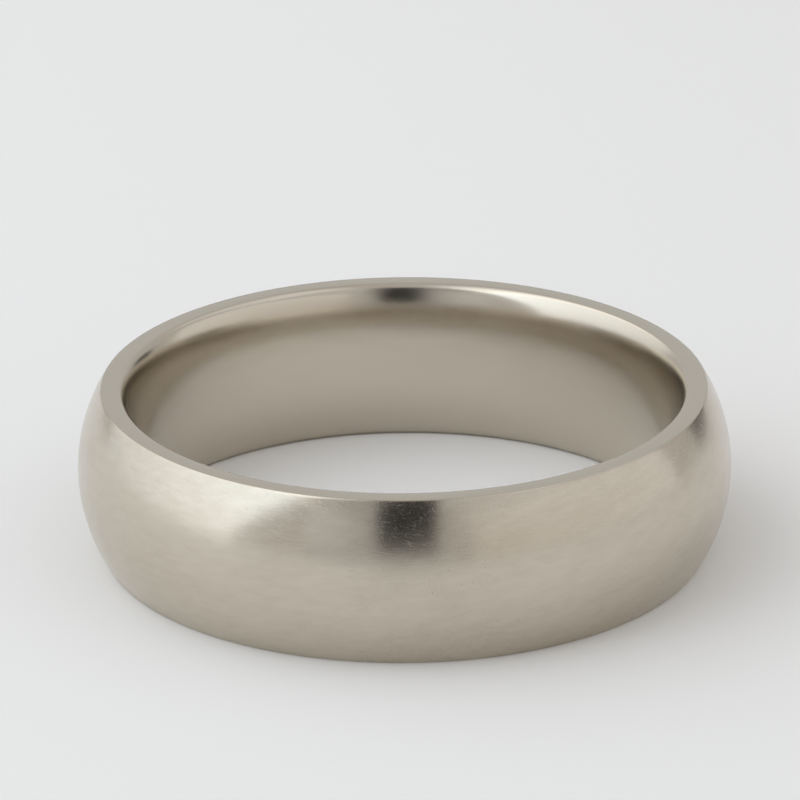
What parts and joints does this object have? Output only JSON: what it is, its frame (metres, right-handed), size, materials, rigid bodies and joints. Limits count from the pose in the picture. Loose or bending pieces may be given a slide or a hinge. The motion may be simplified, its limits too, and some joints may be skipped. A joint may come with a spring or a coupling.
{
  "type": "wedding band",
  "caption": "Plain half-round finger ring with narrow flat rims and a comfort-fit bore that opens out towards both edges in a rounded lip.",
  "frame": {"origin": "centre of the finger hole, in the plane of the lower rim that the ring lies on", "axes": "+Z along the axis of the finger hole, up from the lower rim to the upper one; X and Y lie in the rim's plane, and the ring is the same all the way round"},
  "size_m": [0.0232, 0.0232, 0.006],
  "materials": {
    "white_gold": "unplated white gold, satin-brushed outside with short random scratches, smooth inside"
  },
  "bodies": {
    "root": {"band": "white_gold"}
  },
  "joints": []
}
